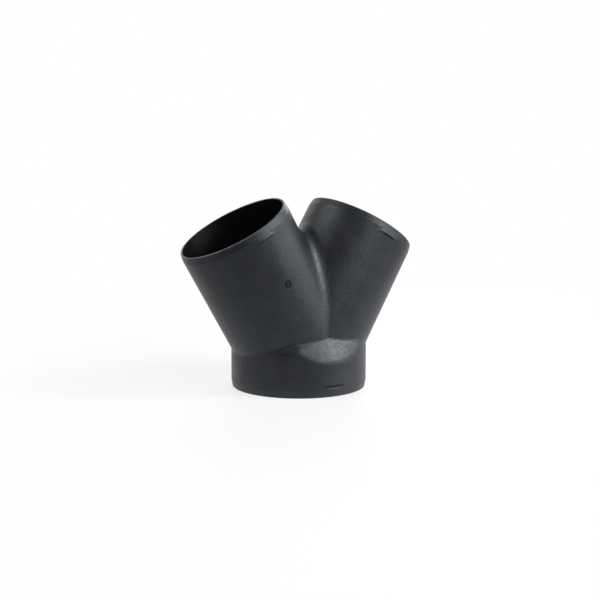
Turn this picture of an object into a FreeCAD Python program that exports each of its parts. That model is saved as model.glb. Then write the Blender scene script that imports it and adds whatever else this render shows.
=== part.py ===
import FreeCAD, Part
import math
import os

# Spigot sizes, as outside diameters, and the wall that all of them share.
COLLAR_DIAMETER = 90.0
LEG_DIAMETER = 75.0
WALL = 2.0

# Straight length of the collar, and of each leg beyond the crotch.
COLLAR_LENGTH = 26.5
LEG_LENGTH = 33.5
LEG_TILT_DEG = 30.0

# Junction: the collar's wall turns in over a round shoulder and closes as a cone.
# The legs' axes cross this far below the shoulder's start.
SHOULDER_ROUND = 9.0
SHOULDER_TILT_DEG = 60.0
CROSSING_DROP = 5.5

# A slope cuts the shoulder at the foot of each valley, starting below the shoulder.
# It is part of a blunt cone whose tip lies further down the same slope, so it is flatter towards the top.
SLOPE_DROP = 4.5
SLOPE_TILT_DEG = 29.0
SLOPE_TIP = 17.5
SLOPE_CONE_DEG = 75.0
SLOPE_ROUND = 10.0

# Hollow blends where outside walls meet.
CREASE_BLEND = 3.0
VALLEY_BLEND = 9.0

# Every spigot tapers towards a narrow rim with broken edges, so that a hose starts easily.
RIM_WIDTH = 1.3
RIM_CHAMFER = 0.3
LEAD_IN_LENGTH = 4.5

# Retaining barb: a ramp that rises from the rim side and ends in a step.
BARB_STEP_FROM_RIM = 6.8
BARB_RAMP = 6.0
BARB_HEIGHT = 0.6
BARB_WIDTH = 19.0
BARB_ROOT = 0.6

# Round mould mark on the front of one leg: a shallow ring groove with sloping sides.
MARK_FROM_RIM = 39.0
MARK_DIAMETER = 5.2
MARK_GROOVE_WIDTH = 1.4
MARK_DEPTH = 0.7

# Cutting shapes run this far past the faces that they open.
OVERRUN = 10.0

# An edge counts as sharp when its faces turn by more than this.
SHARP_DEG = 2.0
TOLERANCE = 0.01

# A cone counts as upright when the height of its unit axis is at least this.
UPRIGHT = 0.99

COLLAR_RADIUS = COLLAR_DIAMETER / 2
LEG_RADIUS = LEG_DIAMETER / 2
LEAD_IN_DEPTH = WALL - RIM_WIDTH
TILT = math.radians(LEG_TILT_DEG)
SHOULDER_TILT = math.radians(SHOULDER_TILT_DEG)
SLOPE_TILT = math.radians(SLOPE_TILT_DEG)
SLOPE_CONE = math.radians(SLOPE_CONE_DEG)
SLOPE_FOOT = COLLAR_LENGTH - SLOPE_DROP
BORE_LENGTH = SLOPE_FOOT - WALL * math.tan(SLOPE_TILT / 2)
CROSSING_HEIGHT = COLLAR_LENGTH - CROSSING_DROP
LEG_REACH = LEG_RADIUS / math.tan(TILT) + LEG_LENGTH
SPACE = 2 * (LEG_REACH + COLLAR_DIAMETER)

ORIGIN = FreeCAD.Vector(0, 0, 0)
X_AXIS = FreeCAD.Vector(1, 0, 0)
Y_AXIS = FreeCAD.Vector(0, 1, 0)
Z_AXIS = FreeCAD.Vector(0, 0, 1)
LEFT, RIGHT = -1, 1
FRONT, BACK = -1, 1


def leg_frame(side):
    """Placement at the middle of a leg's rim, with Z pointing into the leg."""
    outward = FreeCAD.Vector(side * math.sin(TILT), 0, math.cos(TILT))
    rim = Z_AXIS * CROSSING_HEIGHT + outward * LEG_REACH
    return FreeCAD.Placement(rim, FreeCAD.Rotation(Y_AXIS, 180 + side * LEG_TILT_DEG))


def spigots():
    """Every spigot as (radius, placement at its rim with Z pointing inwards)."""
    yield COLLAR_RADIUS, FreeCAD.Placement()
    yield LEG_RADIUS, leg_frame(LEFT)
    yield LEG_RADIUS, leg_frame(RIGHT)


def edges_through(points):
    """Straight edges through (radius, height) points in the XZ plane."""
    corners = [FreeCAD.Vector(radius, 0, height) for radius, height in points]
    return [Part.LineSegment(a, b).toShape() for a, b in zip(corners, corners[1:])]


def revolved(edges):
    """Solid of revolution about Z from a closed outline in the XZ plane."""
    return Part.Face(Part.Wire(edges)).revolve(ORIGIN, Z_AXIS, 360)


def rim_outside(radius):
    """Outline of a spigot's outside from its axis to the end of its lead-in."""
    tip = radius - LEAD_IN_DEPTH
    return [(0, 0), (tip - RIM_CHAMFER, 0), (tip, RIM_CHAMFER), (radius, LEAD_IN_LENGTH)]


def rim_inside(radius):
    """Outline of a spigot's hollow, which flares at the rim and runs on past it."""
    mouth = radius + RIM_CHAMFER
    return [(0, -OVERRUN), (mouth, -OVERRUN), (mouth, 0), (radius, RIM_CHAMFER)]


def slope_cone(facing):
    """Blunt cone that holds the collar and trims the front or back of its shoulder to a slope."""
    up_slope = FreeCAD.Vector(0, -facing * math.sin(SLOPE_TILT), math.cos(SLOPE_TILT))
    inward = FreeCAD.Vector(0, -facing * math.cos(SLOPE_TILT), -math.sin(SLOPE_TILT))
    axis = up_slope * math.cos(SLOPE_CONE) + inward * math.sin(SLOPE_CONE)
    foot = FreeCAD.Vector(0, facing * COLLAR_RADIUS, SLOPE_FOOT)
    tip = foot - up_slope * SLOPE_TIP
    cone = Part.makeCone(0, SPACE * math.tan(SLOPE_CONE), SPACE)
    cone.Placement = FreeCAD.Placement(tip, FreeCAD.Rotation(X_AXIS, axis.cross(X_AXIS), axis, "ZXY"))
    return cone


def slope_edges(solid):
    """Edges round the slopes of a collar, whose cones lean far from upright."""
    cones = [face for face in solid.Faces if isinstance(face.Surface, Part.Cone)]
    return [edge for face in cones if abs(face.Surface.Axis.z) < UPRIGHT for edge in face.Edges]


def collar_outside():
    """Collar with its shoulder, and with two slopes that have rounded edges."""

    def on_shoulder(angle):
        inward = SHOULDER_ROUND * (1 - math.cos(angle))
        height = COLLAR_LENGTH + SHOULDER_ROUND * math.sin(angle)
        return FreeCAD.Vector(COLLAR_RADIUS - inward, 0, height)

    arc = Part.Arc(on_shoulder(0), on_shoulder(SHOULDER_TILT / 2), on_shoulder(SHOULDER_TILT))
    end = on_shoulder(SHOULDER_TILT)
    peak = end.z + end.x / math.tan(SHOULDER_TILT)
    start = rim_outside(COLLAR_RADIUS)
    side = edges_through(start + [(COLLAR_RADIUS, COLLAR_LENGTH)])
    cap = edges_through([(end.x, end.z), (0, peak), start[0]])
    turned = revolved(side + [arc.toShape()] + cap)
    sloped = turned.common(slope_cone(FRONT)).common(slope_cone(BACK)).Solids[0]
    return sloped.makeFillet(SLOPE_ROUND, slope_edges(sloped)).Solids[0]


def collar_hollow():
    """Inside of the collar: round up to the slopes' feet, then narrowing at the slopes' tilt."""
    radius = COLLAR_RADIUS - WALL
    top = CROSSING_HEIGHT + LEG_RADIUS
    top_radius = radius - (top - BORE_LENGTH) * math.tan(SLOPE_TILT)
    start = rim_inside(radius)
    return revolved(edges_through(start + [(radius, BORE_LENGTH), (top_radius, top), (0, top), start[0]]))


def leg_solid(rim, inset):
    """Right leg, from its rim down into its own side of the collar."""
    radius = LEG_RADIUS - inset
    length = LEG_REACH + LEG_DIAMETER
    start = rim(radius)
    leg = revolved(edges_through(start + [(radius, length), (0, length), start[0]]))
    leg.Placement = leg_frame(RIGHT)
    own_side = Part.makeBox(SPACE, 2 * SPACE, SPACE, FreeCAD.Vector(0, -SPACE, COLLAR_LENGTH / 2))
    return leg.common(own_side)


def with_legs(collar, rim, inset):
    """A collar and both legs joined with sharp corners."""
    leg = leg_solid(rim, inset)
    return collar.fuse([leg, leg.mirror(ORIGIN, X_AXIS)]).removeSplitter()


def edge_middle(edge):
    return edge.valueAt((edge.FirstParameter + edge.LastParameter) / 2)


def hollow_edges(solid):
    """Sharp edges of a solid that lie in an inside corner."""
    found = []
    for edge in solid.Edges:
        faces = solid.ancestorsOfType(edge, Part.Face)
        if len(faces) != 2:
            continue
        middle = edge_middle(edge)
        normals = [face.normalAt(*face.Surface.parameter(middle)) for face in faces]
        if math.degrees(normals[0].getAngle(normals[1])) < SHARP_DEG:
            continue
        probe = middle + (normals[0] - normals[1]) * TOLERANCE
        if solid.isInside(probe, TOLERANCE / 100, False):
            found.append(edge)
    return found


def outside_form():
    """Outside of the fitting with blended corners, made as a front half and its mirror image."""
    half_space = Part.makeBox(2 * SPACE, SPACE, 2 * SPACE, FreeCAD.Vector(-SPACE, -SPACE, -SPACE))
    front = with_legs(collar_outside(), rim_outside, 0).common(half_space).Solids[0]
    valleys = [edge for edge in hollow_edges(front) if abs(edge_middle(edge).x) < TOLERANCE]
    front = front.makeFillet(VALLEY_BLEND, valleys).Solids[0]
    front = front.makeFillet(CREASE_BLEND, hollow_edges(front)).Solids[0]
    return front.fuse(front.mirror(ORIGIN, Y_AXIS)).removeSplitter()


def barb(radius, facing):
    """Lens-shaped barb for a spigot that stands on its rim at the origin."""
    crest = radius + BARB_HEIGHT
    chord_depth = math.sqrt(radius ** 2 - (BARB_WIDTH / 2) ** 2)
    offset = (crest ** 2 - radius ** 2) / (2 * (crest - chord_depth))
    reach = crest - offset
    start = FreeCAD.Vector(0, facing * offset, BARB_STEP_FROM_RIM - BARB_RAMP)
    return Part.makeCone(reach - BARB_HEIGHT - BARB_ROOT, reach, BARB_RAMP, start, Z_AXIS)


def barbs():
    for radius, frame in spigots():
        for facing in (FRONT, BACK):
            shape = barb(radius, facing)
            shape.Placement = frame.multiply(shape.Placement)
            yield shape


def mould_mark():
    """Ring that grooves the round mark into the front of the left leg."""
    outer = MARK_DIAMETER / 2
    inner = outer - MARK_GROOVE_WIDTH
    points = [(outer, 0), ((outer + inner) / 2, -MARK_DEPTH), (inner, 0)]
    above = [(inner, MARK_DEPTH), (outer, MARK_DEPTH), (outer, 0)]
    ring = revolved(edges_through(points + above))
    centre = leg_frame(LEFT).multVec(FreeCAD.Vector(0, -LEG_RADIUS, MARK_FROM_RIM))
    ring.Placement = FreeCAD.Placement(centre, FreeCAD.Rotation(Z_AXIS, -Y_AXIS))
    return ring


def branch_body():
    outside = outside_form().fuse(list(barbs()))
    hollow = with_legs(collar_hollow(), rim_inside, WALL)
    shell = outside.cut([hollow, mould_mark()])
    return shell.removeSplitter().Solids[0]


os.makedirs("parts", exist_ok=True)
branch_body().exportStep("parts/branch_body.step")
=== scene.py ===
import math

import bpy
from mathutils import Matrix, Vector

# Camera, from a fit of the part's outline to the photograph: metres, degrees and millimetres of lens.
CAMERA_AZIMUTH = -30.716
CAMERA_ELEVATION = 7.2675
CAMERA_ROLL = 0.145
CAMERA_DISTANCE = 0.6390
CAMERA_AIM = Vector((0, 0, 0.0585))
AIM_RIGHT = 0.00085
AIM_UP = -0.00163
CAMERA_LENS = 57.63
SENSOR_WIDTH = 36.0
QUARTER_TURN = 90

# Round soft lamps about the part. Azimuth runs from the front towards the right, in degrees.
# Brightness is the lamp's own, where 1 is white. Most lamps share one distance and size, in metres.
SOFT_LAMP = {"distance": 1.8, "size": 0.74}
LAMPS = {
    "key": {"azimuth": 50, "elevation": 39, "brightness": 28.0, "distance": 1.4, "size": 0.4},
    "front_fill": {"azimuth": 26, "elevation": 25, "brightness": 7.2},
    "front": {"azimuth": 0, "elevation": 25, "brightness": 1.6},
    "right_low": {"azimuth": 51, "elevation": 9, "brightness": 2.8},
    "right_side": {"azimuth": 77, "elevation": 9, "brightness": 1.8},
    "right_high": {"azimuth": 77, "elevation": 25, "brightness": 2.2},
    "right_edge": {"azimuth": 129, "elevation": 25, "brightness": 2.8, "size": 1.0},
    "back": {"azimuth": 180, "elevation": 25, "brightness": 0.8},
    "left_edge": {"azimuth": 252, "elevation": 25, "brightness": 5.0},
    "left_top": {"azimuth": 270, "elevation": 45, "brightness": 2.8},
    "front_top": {"azimuth": 330, "elevation": 45, "brightness": 0.85},
    "back_top": {"azimuth": 238, "elevation": 47, "brightness": 2.9},
}

# The room is dim, with a white backdrop that reflections see behind the part.
WHITE = (1, 1, 1, 1)
ROOM_STRENGTH = 0.08
BACKDROP_SIDE = (0.55, 0.835, 0)
BACKDROP_FADE = (0.25, 0.95)

# The floor is pale and faintly polished, and fades into the white behind it.
FLOOR_SIZE = 4.0
FLOOR_CENTRE = (0.10, 0.06, 0)
FLOOR_FADE = (0.11, 0.54)
FLOOR_COLOUR = (0.22, 0.22, 0.22, 1)
FLOOR_GLOW = 0.82
FLOOR_POLISH = 0.12
FLOOR_ROUGHNESS = 0.5

# Where the spigots lie, in metres and radians. The legs mirror each other and share these values.
# Their axes meet at the crossing, and places along and across a leg count from the part's origin.
LEG_TILT = math.radians(30)
LEG_AXIS = (math.sin(LEG_TILT), 0, math.cos(LEG_TILT))
LEG_ACROSS = (math.cos(LEG_TILT), 0, -math.sin(LEG_TILT))
LEG_RIM_ALONG = 0.11664
LEG_MIDDLE_ACROSS = -0.0105
CROSSING = (0, 0, 0.021)
COLLAR_AXIS = (0, 0, 1)

# Moulded black plastic: fine spark-eroded grain, soft speckle and cloudy flow marks.
PLASTIC_DARK = (0.0088, 0.0088, 0.0128, 1)
PLASTIC_LIGHT = (0.0205, 0.0205, 0.0290, 1)
SHEEN_TINT = (0.89, 1.0, 1.03, 1)
GRAIN_SIZE = 0.0007
SPECKLE_SIZE = 0.0020
SPECKLE_SHARE = 4
GRAIN_DEPTH = 0.00003
CLOUD_SIZE = 0.012
NOISE_RANGE = (0.3, 0.7)
NOISE_DETAIL = 3
ROUGHNESS = (0.38, 0.50)

# The bores are smoother, and their colour is darkened with painted shade, as their depths lie in shade.
# Each mask ends within the broken edge of the bore's rim.
BORE_PAINTED_SHADE = (0.0045, 0.0046, 0.0055, 1)
BORE_ROUGHNESS = 0.32
BORE_GRAIN = 0.25
LEG_WALL = (0.03555, 0.0359)
COLLAR_WALL = (0.04305, 0.0434)
COLLAR_TOP = (0.0212, 0.0222)

# The rims are paler with a painted highlight, broken into patches. The painted highlight fades within a
# short way from each rim.
EDGE_HIGHLIGHT_COLOUR = (0.070, 0.073, 0.078, 1)
HIGHLIGHT_BREAK = (0.25, 0.6)
COLLAR_RIM = (0.0002, 0.0009)
LEG_RIM = (0.11576, 0.11646)

# The crests of the collar's barbs get the painted highlight too. Lines across the barbs fade out at
# their ends.
CREST_FROM_RIM = 0.0057
CREST_HALF_WIDTH = 0.0055
LINE_REACH = 0.0008

# Painted shade darkens the round mould mark and the barbs' steps, where shade falls in the recess and
# under the steps; both are matt there too.
MARK_CENTRE = (-0.02973, -0.0375, 0.07249)
MARK_FADE = (0.0016, 0.0034)
STEP_FROM_RIM = 0.0070
STEP_HALF_WIDTH = 0.0095
PAINTED_SHADE_COLOUR = (0.004, 0.004, 0.005, 1)
MARK_AND_STEP_ROUGHNESS = 0.8

# Sockets of a colour mix node, and the two ways a mask can run.
MIX_A, MIX_B, MIX_RESULT = 6, 7, 2
RISE, FALL = (0, 1), (1, 0)


def link(tree, source, target):
    tree.links.new(source, target)


def noise(tree, place, size):
    """Noise whose features are about the given size in metres."""
    node = tree.nodes.new("ShaderNodeTexNoise")
    node.inputs["Scale"].default_value = 1 / size
    node.inputs["Detail"].default_value = NOISE_DETAIL
    link(tree, place, node.inputs["Vector"])
    return node.outputs["Fac"]


def spread(tree, value, source, target):
    """Maps a value from one range to another and holds it at the ends."""
    node = tree.nodes.new("ShaderNodeMapRange")
    node.inputs["From Min"].default_value, node.inputs["From Max"].default_value = source
    node.inputs["To Min"].default_value, node.inputs["To Max"].default_value = target
    link(tree, value, node.inputs["Value"])
    return node.outputs["Result"]


def calculate(tree, operation, first, second):
    """Math node with two linked inputs."""
    node = tree.nodes.new("ShaderNodeMath")
    node.operation = operation
    link(tree, first, node.inputs[0])
    link(tree, second, node.inputs[1])
    return node.outputs["Value"]


def mix_colour(tree, factor, first, second):
    """Goes from a fixed or linked colour to another fixed one."""
    node = tree.nodes.new("ShaderNodeMix")
    node.data_type = "RGBA"
    link(tree, factor, node.inputs["Factor"])
    if isinstance(first, tuple):
        node.inputs[MIX_A].default_value = first
    else:
        link(tree, first, node.inputs[MIX_A])
    node.inputs[MIX_B].default_value = second
    return node.outputs[MIX_RESULT]


def mix_number(tree, factor, first, second):
    """Goes from a linked number to a fixed one."""
    node = tree.nodes.new("ShaderNodeMix")
    link(tree, factor, node.inputs["Factor"])
    link(tree, first, node.inputs["A"])
    node.inputs["B"].default_value = second
    return node.outputs["Result"]


def vector_node(tree, operation, vector, other=(0, 0, 0)):
    """Vector math node with one linked input and one fixed one."""
    node = tree.nodes.new("ShaderNodeVectorMath")
    node.operation = operation
    link(tree, vector, node.inputs[0])
    node.inputs[1].default_value = other
    return node


def coordinate(tree, place, axis):
    """One coordinate of a point."""
    node = tree.nodes.new("ShaderNodeSeparateXYZ")
    link(tree, place, node.inputs["Vector"])
    return node.outputs[axis]


def along_leg(tree, mirrored):
    """Place of a mirrored point along its leg's axis."""
    return vector_node(tree, "DOT_PRODUCT", mirrored, LEG_AXIS).outputs["Value"]


def near_axis(tree, place, axis, wall):
    """One nearer to an axis through zero than a wall, and zero beyond the wall."""
    across = vector_node(tree, "CROSS_PRODUCT", place, axis).outputs["Vector"]
    return spread(tree, vector_node(tree, "LENGTH", across).outputs["Value"], wall, FALL)


def bore_smooth_and_shade_mask(tree, place, mirrored):
    """One inside the collar and the legs, and zero on the outside."""
    from_crossing = vector_node(tree, "SUBTRACT", mirrored, CROSSING).outputs["Vector"]
    leg = near_axis(tree, from_crossing, LEG_AXIS, LEG_WALL)
    collar = near_axis(tree, place, COLLAR_AXIS, COLLAR_WALL)
    below_slopes = spread(tree, coordinate(tree, place, "Z"), COLLAR_TOP, FALL)
    return calculate(tree, "MAXIMUM", leg, calculate(tree, "MULTIPLY", collar, below_slopes))


def near(tree, value, centre, reach):
    """One about a centre, and zero beyond a reach from it."""
    offset = tree.nodes.new("ShaderNodeMath")
    offset.operation = "SUBTRACT"
    link(tree, value, offset.inputs[0])
    offset.inputs[1].default_value = centre
    distance = tree.nodes.new("ShaderNodeMath")
    distance.operation = "ABSOLUTE"
    link(tree, offset.outputs["Value"], distance.inputs[0])
    return spread(tree, distance.outputs["Value"], (reach / 2, reach), FALL)


def collar_line(tree, place, from_rim, half_width):
    """One along a line across the collar's barbs, and zero elsewhere."""
    at_height = near(tree, coordinate(tree, place, "Z"), from_rim, LINE_REACH)
    in_middle = near(tree, coordinate(tree, place, "X"), 0, half_width)
    return calculate(tree, "MULTIPLY", at_height, in_middle)


def leg_line(tree, mirrored, from_rim, half_width):
    """One along a line across the legs' barbs, and zero elsewhere."""
    across = vector_node(tree, "DOT_PRODUCT", mirrored, LEG_ACROSS).outputs["Value"]
    at_length = near(tree, along_leg(tree, mirrored), LEG_RIM_ALONG - from_rim, LINE_REACH)
    in_middle = near(tree, across, LEG_MIDDLE_ACROSS, half_width)
    return calculate(tree, "MULTIPLY", at_length, in_middle)


def painted_highlight_mask(tree, place, mirrored, breaks):
    """One where a rim or the crest of a collar's barb gets a painted highlight, and zero elsewhere."""
    collar = spread(tree, coordinate(tree, place, "Z"), COLLAR_RIM, FALL)
    leg = spread(tree, along_leg(tree, mirrored), LEG_RIM, RISE)
    rims = calculate(tree, "MAXIMUM", collar, leg)
    crests = collar_line(tree, place, CREST_FROM_RIM, CREST_HALF_WIDTH)
    highlighted = calculate(tree, "MAXIMUM", rims, crests)
    return calculate(tree, "MULTIPLY", highlighted, spread(tree, breaks, HIGHLIGHT_BREAK, RISE))


def painted_shade_mask(tree, place, mirrored):
    """One in the mould mark and along the barbs' steps, where painted shade goes, and zero elsewhere."""
    from_mark = vector_node(tree, "DISTANCE", place, MARK_CENTRE).outputs["Value"]
    mark = spread(tree, from_mark, MARK_FADE, FALL)
    on_collar = collar_line(tree, place, STEP_FROM_RIM, STEP_HALF_WIDTH)
    on_legs = leg_line(tree, mirrored, STEP_FROM_RIM, STEP_HALF_WIDTH)
    return calculate(tree, "MAXIMUM", mark, calculate(tree, "MAXIMUM", on_collar, on_legs))


def grain_bump(tree, place, speckle, bore_smooth_and_shade):
    """Fine grain with a softer speckle under it, fainter in the bores."""
    coarse = spread(tree, speckle, RISE, (0, SPECKLE_SHARE))
    height = calculate(tree, "ADD", noise(tree, place, GRAIN_SIZE), coarse)
    bump = tree.nodes.new("ShaderNodeBump")
    link(tree, spread(tree, bore_smooth_and_shade, RISE, (1, BORE_GRAIN)), bump.inputs["Strength"])
    bump.inputs["Distance"].default_value = GRAIN_DEPTH
    link(tree, height, bump.inputs["Height"])
    return bump.outputs["Normal"]


def plastic_material():
    material = bpy.data.materials.new("black_plastic")
    material.use_nodes = True
    tree = material.node_tree
    shader = tree.nodes["Principled BSDF"]
    shader.inputs["Specular Tint"].default_value = SHEEN_TINT
    place = tree.nodes.new("ShaderNodeTexCoord").outputs["Object"]
    mirrored = vector_node(tree, "ABSOLUTE", place).outputs["Vector"]
    speckle = noise(tree, place, SPECKLE_SIZE)
    cloud = spread(tree, noise(tree, place, CLOUD_SIZE), NOISE_RANGE, RISE)
    painted_highlight = painted_highlight_mask(tree, place, mirrored, speckle)
    painted_shade = painted_shade_mask(tree, place, mirrored)
    bore_smooth_and_shade = bore_smooth_and_shade_mask(tree, place, mirrored)
    colour = mix_colour(tree, cloud, PLASTIC_DARK, PLASTIC_LIGHT)
    # Rims and barb crests get a painted highlight in a paler colour.
    colour = mix_colour(tree, painted_highlight, colour, EDGE_HIGHLIGHT_COLOUR)
    # Painted shade darkens the mould mark and the barbs' steps.
    colour = mix_colour(tree, painted_shade, colour, PAINTED_SHADE_COLOUR)
    # The bores get painted shade: a darker colour stands in for the shade inside them.
    link(tree, mix_colour(tree, bore_smooth_and_shade, colour, BORE_PAINTED_SHADE), shader.inputs["Base Color"])
    roughness = spread(tree, speckle, NOISE_RANGE, ROUGHNESS)
    roughness = mix_number(tree, painted_shade, roughness, MARK_AND_STEP_ROUGHNESS)
    link(tree, mix_number(tree, bore_smooth_and_shade, roughness, BORE_ROUGHNESS), shader.inputs["Roughness"])
    link(tree, grain_bump(tree, place, speckle, bore_smooth_and_shade), shader.inputs["Normal"])
    return material


def mirror_rays(tree, path):
    """One for rays that a shiny or clear surface sends on, and zero for others."""
    return calculate(tree, "MAXIMUM", path.outputs["Is Glossy Ray"], path.outputs["Is Transmission Ray"])


def floor_material():
    """Pale, faintly polished floor that glows to the eye and in reflections, and fades with distance."""
    material = bpy.data.materials.new("floor")
    material.use_nodes = True
    tree = material.node_tree
    tree.nodes.clear()
    output = tree.nodes.new("ShaderNodeOutputMaterial")
    path = tree.nodes.new("ShaderNodeLightPath")
    seen = calculate(tree, "MAXIMUM", path.outputs["Is Camera Ray"], mirror_rays(tree, path))
    matt = tree.nodes.new("ShaderNodeBsdfDiffuse")
    matt.inputs["Color"].default_value = FLOOR_COLOUR
    glow = tree.nodes.new("ShaderNodeEmission")
    link(tree, spread(tree, seen, RISE, (0, FLOOR_GLOW)), glow.inputs["Strength"])
    lit = tree.nodes.new("ShaderNodeAddShader")
    link(tree, matt.outputs["BSDF"], lit.inputs[0])
    link(tree, glow.outputs["Emission"], lit.inputs[1])
    gloss = tree.nodes.new("ShaderNodeBsdfGlossy")
    gloss.inputs["Roughness"].default_value = FLOOR_ROUGHNESS
    polished = tree.nodes.new("ShaderNodeMixShader")
    polished.inputs["Fac"].default_value = FLOOR_POLISH
    link(tree, lit.outputs["Shader"], polished.inputs[1])
    link(tree, gloss.outputs["BSDF"], polished.inputs[2])
    place = tree.nodes.new("ShaderNodeTexCoord").outputs["Object"]
    distance = vector_node(tree, "LENGTH", place).outputs["Value"]
    clear = tree.nodes.new("ShaderNodeBsdfTransparent")
    faded = tree.nodes.new("ShaderNodeMixShader")
    link(tree, spread(tree, distance, FLOOR_FADE, RISE), faded.inputs["Fac"])
    link(tree, polished.outputs["Shader"], faded.inputs[1])
    link(tree, clear.outputs["BSDF"], faded.inputs[2])
    link(tree, faded.outputs["Shader"], output.inputs["Surface"])
    return material


def make_floor():
    bpy.ops.mesh.primitive_plane_add(size=FLOOR_SIZE, location=FLOOR_CENTRE)
    floor = bpy.context.object
    floor.name = "floor"
    floor.data.materials.append(floor_material())


def make_room():
    """White to the eye, white in reflections towards the backdrop, and dim otherwise."""
    world = bpy.data.worlds.new("room")
    world.use_nodes = True
    tree = world.node_tree
    path = tree.nodes.new("ShaderNodeLightPath")
    outward = tree.nodes.new("ShaderNodeTexCoord").outputs["Generated"]
    towards = vector_node(tree, "DOT_PRODUCT", outward, BACKDROP_SIDE).outputs["Value"]
    backdrop = spread(tree, towards, BACKDROP_FADE, RISE)
    mirrored = calculate(tree, "MULTIPLY", mirror_rays(tree, path), backdrop)
    seen = calculate(tree, "MAXIMUM", path.outputs["Is Camera Ray"], mirrored)
    strength = spread(tree, seen, RISE, (ROOM_STRENGTH, 1))
    link(tree, strength, tree.nodes["Background"].inputs["Strength"])
    tree.nodes["Background"].inputs["Color"].default_value = WHITE
    bpy.context.scene.world = world


def direction_at(azimuth, elevation):
    """Unit vector from the part towards a point round it, with angles in degrees."""
    azimuth, elevation = math.radians(azimuth), math.radians(elevation)
    level = math.cos(elevation)
    return Vector((math.sin(azimuth) * level, -math.cos(azimuth) * level, math.sin(elevation)))


def make_lamps():
    for name, own_values in LAMPS.items():
        lamp = {**SOFT_LAMP, **own_values}
        data = bpy.data.lights.new(name, "AREA")
        data.shape = "DISK"
        data.size = lamp["size"]
        area = math.pi * (lamp["size"] / 2) ** 2
        data.energy = math.pi * area * lamp["brightness"]
        light = bpy.data.objects.new(name, data)
        direction = direction_at(lamp["azimuth"], lamp["elevation"])
        light.location = CAMERA_AIM + direction * lamp["distance"]
        light.rotation_euler = direction.to_track_quat("Z", "Y").to_euler()
        bpy.context.collection.objects.link(light)


def make_camera():
    back = direction_at(CAMERA_AZIMUTH, CAMERA_ELEVATION)
    right = direction_at(CAMERA_AZIMUTH + QUARTER_TURN, 0)
    up = back.cross(right)
    roll = math.radians(CAMERA_ROLL)
    aim = CAMERA_AIM + right * AIM_RIGHT + up * AIM_UP
    turned_right = right * math.cos(roll) + up * math.sin(roll)
    turned_up = up * math.cos(roll) - right * math.sin(roll)
    data = bpy.data.cameras.new("camera")
    data.lens = CAMERA_LENS
    data.sensor_width = SENSOR_WIDTH
    camera = bpy.data.objects.new("camera", data)
    axes = Matrix((turned_right, turned_up, back)).transposed().to_4x4()
    camera.matrix_world = Matrix.Translation(aim + back * CAMERA_DISTANCE) @ axes
    bpy.context.collection.objects.link(camera)
    bpy.context.scene.camera = camera


def dress(node):
    node.data.materials.clear()
    node.data.materials.append(plastic_material())


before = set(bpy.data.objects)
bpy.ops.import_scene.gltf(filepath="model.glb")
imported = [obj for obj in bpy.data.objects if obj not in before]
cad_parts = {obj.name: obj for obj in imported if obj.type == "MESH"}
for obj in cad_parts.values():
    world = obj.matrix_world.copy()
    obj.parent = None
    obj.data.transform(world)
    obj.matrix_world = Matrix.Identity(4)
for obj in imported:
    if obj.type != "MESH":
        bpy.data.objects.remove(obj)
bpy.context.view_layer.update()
bpy.context.scene.view_settings.view_transform = "Standard"
dress(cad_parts["branch_body"])
make_floor()
make_room()
make_lamps()
make_camera()
